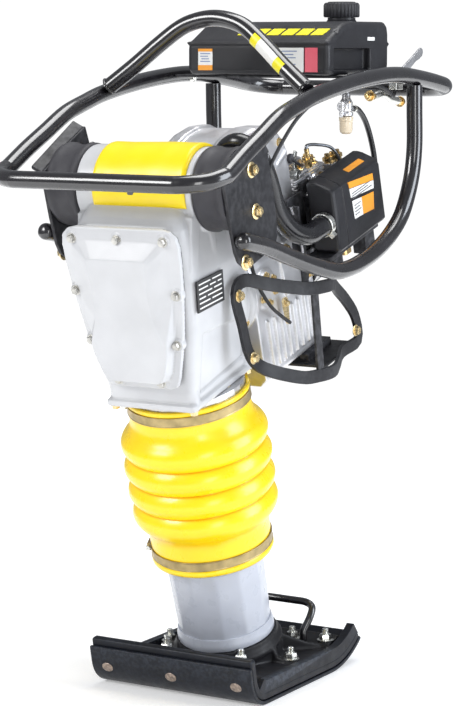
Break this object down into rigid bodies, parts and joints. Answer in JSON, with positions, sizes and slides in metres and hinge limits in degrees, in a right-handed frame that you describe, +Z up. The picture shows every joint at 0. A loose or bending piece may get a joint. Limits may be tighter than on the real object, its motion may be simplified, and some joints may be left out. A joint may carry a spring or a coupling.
{
  "type": "jumping jack rammer",
  "caption": "Walk-behind tamping rammer with sprung foot, crank drive, engine, tank and rocking tubular handle.",
  "frame": {"origin": "on the ground, at the centre of the whole machine's plan outline", "axes": "+Z up; -Y is the machine's front, where the leg leans to; +X is its left side"},
  "size_m": [0.3956, 0.8093, 1.043],
  "materials": {
    "grey_paint": "light grey enamel on cast aluminium, satin",
    "bare_aluminium": "as cast and machined aluminium",
    "yellow_plastic": "moulded yellow plastic, satin",
    "yellow_rubber": "glossy yellow rubber",
    "black_paint": "black powder coat, satin",
    "black_plastic": "black moulded plastic, fine grain",
    "black_rubber": "black rubber",
    "machined_steel": "machined steel",
    "spring_steel": "dark heat-treated steel",
    "clamp_steel": "yellow passivated steel band",
    "brass": "brass",
    "clear_bowl": "cream translucent plastic"
  },
  "bodies": {
    "housing": {"crankcase": "grey_paint", "front_cover": "grey_paint", "drum_cover": "yellow_plastic", "guide_cylinder": "machined_steel", "upper_clamp": "clamp_steel", "bellows": "yellow_rubber", "gear_bearing": "machined_steel", "engine_block": "bare_aluminium", "cooling_shroud": "bare_aluminium", "cylinder_head": "bare_aluminium", "recoil_cover": "black_paint", "muffler": "spring_steel", "injection_pump": "brass", "air_cleaner_box": "black_plastic", "air_cleaner_bracket": "black_paint", "intake_hose": "black_rubber", "guard_left": "black_paint", "guard_right": "black_paint", "skid_plate": "black_paint"},
    "foot": {"leg_tube": "grey_paint", "spring_cylinder": "machined_steel", "cylinder_cap": "machined_steel", "lower_spring": "spring_steel", "upper_spring": "spring_steel", "lower_clamp": "clamp_steel", "shoe_casting": "black_paint", "shoe_board": "black_plastic", "shoe_sole": "black_paint", "bail_bar": "black_paint"},
    "piston": {"piston_rod": "machined_steel", "piston_head": "machined_steel"},
    "connecting_rod": {"connecting_rod": "machined_steel"},
    "crank": {"crank_gear": "machined_steel"},
    "clutch": {"clutch_drum": "machined_steel"},
    "engine_rotor": {"engine_shaft": "machined_steel", "clutch_shoes": "bare_aluminium", "flywheel": "bare_aluminium"},
    "starter_pulley": {"starter_pulley": "black_plastic"},
    "starter_grip": {"starter_grip": "black_plastic", "starter_rope": "black_rubber"},
    "governor_arm": {"governor_arm": "machined_steel"},
    "handle": {"handle_loop": "black_paint", "lifting_arch": "black_paint", "side_loop_left": "black_paint", "side_loop_right": "black_paint", "side_plate_left": "black_paint", "side_plate_right": "black_paint", "cross_tube": "black_paint", "rubber_mount_left": "black_rubber", "rubber_mount_right": "black_rubber", "tank_cradle": "black_paint", "fuel_tank": "black_plastic", "fuel_cock": "machined_steel", "filter_bowl": "clear_bowl", "throttle_bracket": "machined_steel", "fuel_hose": "black_rubber", "throttle_cable": "black_rubber"},
    "fuel_cap": {"fuel_cap": "black_plastic"},
    "fuel_cock_lever": {"fuel_cock_lever": "machined_steel"},
    "throttle_lever": {"throttle_lever": "machined_steel"}
  },
  "joints": [
    {"name": "foot_slide", "type": "slide", "parent": "housing", "child": "foot", "axis": [0, -0.2773, 0.9608], "range_m": [-0.035, 0.035], "stiffness_N_per_m": 30000, "springref_m": -0.021, "deforming": ["bellows", "lower_spring", "upper_spring"]},
    {"name": "piston_slide", "type": "slide", "parent": "housing", "child": "piston", "axis": [0, -0.2773, 0.9608], "range_m": [0, 0.06]},
    {"name": "rod_swing", "type": "hinge", "parent": "piston", "child": "connecting_rod", "pos_m": [0, -0.16147, 0.52651], "axis": [0, 0.9608, 0.2773], "range_deg": [-16.4, 16.4]},
    {"name": "crank_spin", "type": "hinge", "parent": "housing", "child": "crank", "pos_m": [0, -0.19918, 0.65717], "axis": [0, 0.9608, 0.2773], "continuous": true},
    {"name": "clutch_spin", "type": "hinge", "parent": "housing", "child": "clutch", "pos_m": [0, -0.17442, 0.57138], "axis": [0, 0.9608, 0.2773], "continuous": true},
    {"name": "engine_spin", "type": "hinge", "parent": "housing", "child": "engine_rotor", "pos_m": [0, -0.17442, 0.57138], "axis": [0, 0.9608, 0.2773], "continuous": true},
    {"name": "starter_pull", "type": "slide", "parent": "housing", "child": "starter_grip", "axis": [-1, 0, 0], "range_m": [0, 0.45]},
    {"name": "starter_spin", "type": "hinge", "parent": "housing", "child": "starter_pulley", "pos_m": [0, -0.17442, 0.57138], "axis": [0, 0.9608, 0.2773], "range_deg": [0, 650]},
    {"name": "governor_turn", "type": "hinge", "parent": "housing", "child": "governor_arm", "pos_m": [0.072, 0.01805, 0.58249], "axis": [1, 0, 0], "range_deg": [0, 30]},
    {"name": "handle_rock", "type": "hinge", "parent": "housing", "child": "handle", "pos_m": [0, -0.23218, 0.77151], "axis": [1, 0, 0], "range_deg": [-3, 3], "stiffness_Nm_per_rad": 3000, "deforming": ["rubber_mount_left", "rubber_mount_right", "fuel_hose", "throttle_cable"]},
    {"name": "cap_turn", "type": "hinge", "parent": "handle", "child": "fuel_cap", "pos_m": [0.072, 0.205, 1.03], "axis": [0, 0, 1], "range_deg": [0, 180]},
    {"name": "cock_turn", "type": "hinge", "parent": "handle", "child": "fuel_cock_lever", "pos_m": [0.11, 0.151, 0.88], "axis": [0, -1, 0], "range_deg": [0, 90]},
    {"name": "throttle_turn", "type": "hinge", "parent": "handle", "child": "throttle_lever", "pos_m": [0.167, 0.236, 0.934], "axis": [1, 0, 0], "range_deg": [0, 50]}
  ],
  "couplings": [
    {"joint": "clutch_spin", "follows": "crank_spin", "ratio": -4.4},
    {"joint": "starter_spin", "follows": "starter_pull", "rad_per_m": 25},
    {"joint": "governor_turn", "follows": "throttle_turn", "ratio": 0.6}
  ]
}
